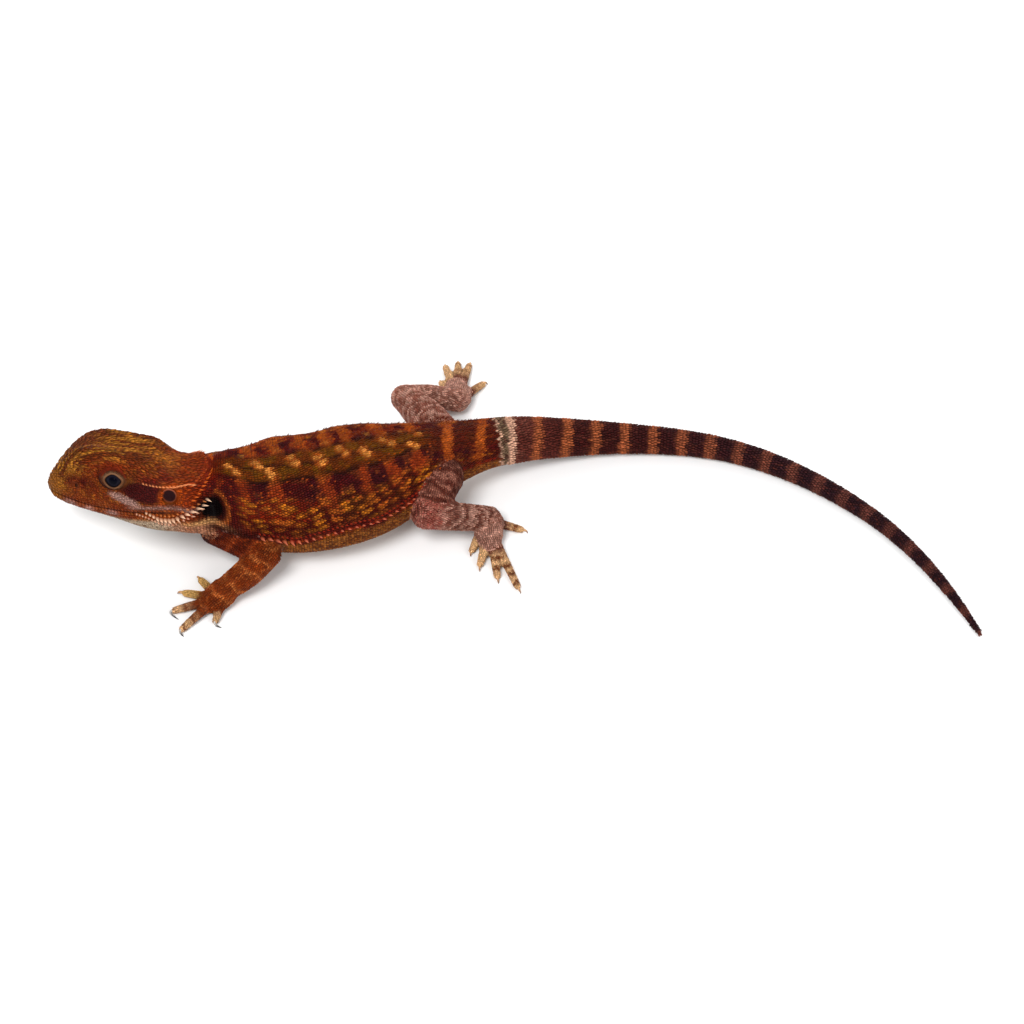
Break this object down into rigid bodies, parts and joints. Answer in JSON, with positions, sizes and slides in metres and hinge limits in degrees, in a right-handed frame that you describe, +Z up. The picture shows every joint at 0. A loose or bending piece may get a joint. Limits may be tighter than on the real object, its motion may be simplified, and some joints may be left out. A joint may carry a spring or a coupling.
{
  "type": "bearded dragon, still model",
  "caption": "Life-size still model of a young bearded dragon resting on its belly, head raised and tilted, limbs spread, tail laid in a long curve.",
  "frame": {"origin": "point of the floor under the middle of the belly, on the flat that the belly rests on", "axes": "-X towards the head, +X along the animal's length to the tail, +Y to its right flank, +Z up from the floor"},
  "size_m": [0.1809, 0.0752, 0.0228],
  "materials": {
    "body_skin": "matte overlapping scales, red-brown and maroon with orange bars and yellow blotches",
    "tail_skin": "matte keeled scales, dark maroon with rust bands",
    "hind_leg_skin": "matte scales, dusty mauve with pale pink bars",
    "eye": "wet gloss, dark iris with a pale rim",
    "ear_drum": "smooth dark membrane",
    "claw": "smooth grey horn"
  },
  "bodies": {
    "root": {"head": "body_skin", "neck": "body_skin", "trunk": "body_skin", "tail_base": "tail_skin", "tail_middle": "tail_skin", "tail_end": "tail_skin", "tail_tip": "tail_skin", "eye_left": "eye", "ear_left": "ear_drum", "upper_arm_left": "body_skin", "forearm_left": "body_skin", "hand_left": "body_skin", "thigh_left": "hind_leg_skin", "shin_left": "hind_leg_skin", "foot_left": "hind_leg_skin", "eye_right": "eye", "ear_right": "ear_drum", "upper_arm_right": "body_skin", "forearm_right": "body_skin", "hand_right": "body_skin", "thigh_right": "hind_leg_skin", "shin_right": "hind_leg_skin", "foot_right": "hind_leg_skin", "claw_hand_left_1": "claw", "claw_hand_left_2": "claw", "claw_hand_left_3": "claw", "claw_hand_left_4": "claw", "claw_hand_left_5": "claw", "claw_hand_right_1": "claw", "claw_hand_right_2": "claw", "claw_hand_right_3": "claw", "claw_hand_right_4": "claw", "claw_hand_right_5": "claw", "claw_foot_left_1": "claw", "claw_foot_left_2": "claw", "claw_foot_left_3": "claw", "claw_foot_left_4": "claw", "claw_foot_left_5": "claw", "claw_foot_right_1": "claw", "claw_foot_right_2": "claw", "claw_foot_right_3": "claw", "claw_foot_right_4": "claw", "claw_foot_right_5": "claw"}
  },
  "joints": []
}
